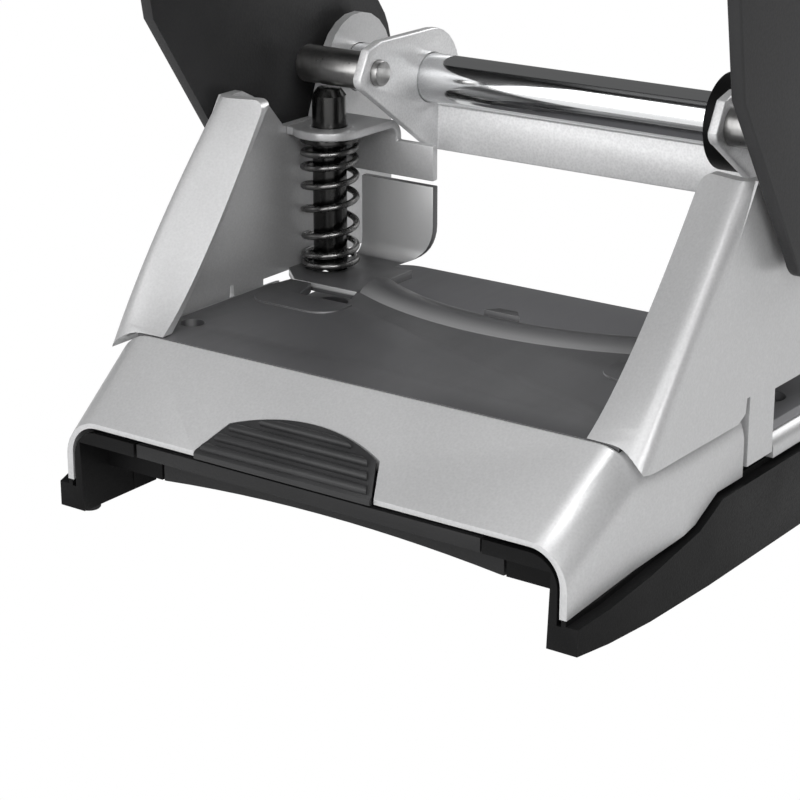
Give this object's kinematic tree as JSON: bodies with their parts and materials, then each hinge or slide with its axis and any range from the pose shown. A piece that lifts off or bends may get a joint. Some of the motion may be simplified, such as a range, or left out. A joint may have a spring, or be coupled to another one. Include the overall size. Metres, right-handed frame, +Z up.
{
  "type": "two-hole punch",
  "caption": "Desk hole punch with a folded metal base, sprung punch pins under a wide hinged lever, a rear paper slot and a chip drawer pulled from the front.",
  "frame": {"origin": "middle of the footprint on the surface that the feet stand on", "axes": "+Z up, -Y towards the front edge with the thumb pull, X along the row of holes"},
  "size_m": [0.106, 0.0891, 0.1312],
  "materials": {
    "silver_sheet": "fine matte silver coat on folded steel sheet",
    "guide_sheet": "matte steel sheet with rounded folds",
    "black_plastic": "black moulded plastic with a fine grain",
    "dark_plate": "dark grey smooth coat, half gloss",
    "lever_black": "near black textured plastic",
    "yoke_steel": "matte zinc plated steel sheet",
    "chrome_bar": "polished bright chrome",
    "dark_steel": "oiled dark tool steel",
    "hardware": "plain turned and stamped steel",
    "rubber": "soft black rubber"
  },
  "bodies": {
    "base": {"base_shell": "silver_sheet", "base_frame": "black_plastic", "cover_plate": "dark_plate", "bed_plate": "dark_plate", "die_bushes": "hardware", "base_screws": "hardware", "rubber_feet": "rubber", "bracket_left": "silver_sheet", "bracket_right": "silver_sheet", "lower_guide_left": "guide_sheet", "lower_guide_right": "guide_sheet", "upper_guide_left": "guide_sheet", "upper_guide_right": "guide_sheet"},
    "drawer": {"chip_drawer": "black_plastic", "drawer_pull": "black_plastic"},
    "lever": {"lever_yoke": "yoke_steel", "press_pin_left": "hardware", "press_pin_right": "hardware", "axle": "chrome_bar", "axle_sleeve": "black_plastic", "axle_spacers": "hardware", "axle_clips": "hardware", "lever_arm_left": "lever_black", "lever_arm_right": "lever_black", "handle_cover": "lever_black", "grip_pad": "rubber"},
    "left_punch": {"punch_left": "dark_steel", "spring_cap_left": "dark_steel", "spring_left": "dark_steel"},
    "right_punch": {"punch_right": "dark_steel", "spring_cap_right": "dark_steel", "spring_right": "dark_steel"}
  },
  "joints": [
    {"name": "lever_hinge", "type": "hinge", "parent": "base", "child": "lever", "pos_m": [0, 0.031, 0.05438], "axis": [1, 0, 0], "range_deg": [0, 24]},
    {"name": "left_punch_slide", "type": "slide", "parent": "base", "child": "left_punch", "axis": [0, 0, -1], "range_m": [0, 0.00624], "stiffness_N_per_m": 600, "springref_m": -0.006, "deforming": ["spring_left"]},
    {"name": "right_punch_slide", "type": "slide", "parent": "base", "child": "right_punch", "axis": [0, 0, -1], "range_m": [0, 0.00624], "stiffness_N_per_m": 600, "springref_m": -0.006, "deforming": ["spring_right"]},
    {"name": "drawer_slide", "type": "slide", "parent": "base", "child": "drawer", "axis": [0, -1, 0], "range_m": [0, 0.06]}
  ],
  "couplings": [
    {"joint": "left_punch_slide", "follows": "lever_hinge", "m_per_rad": 0.01489},
    {"joint": "right_punch_slide", "follows": "lever_hinge", "m_per_rad": 0.01489}
  ]
}
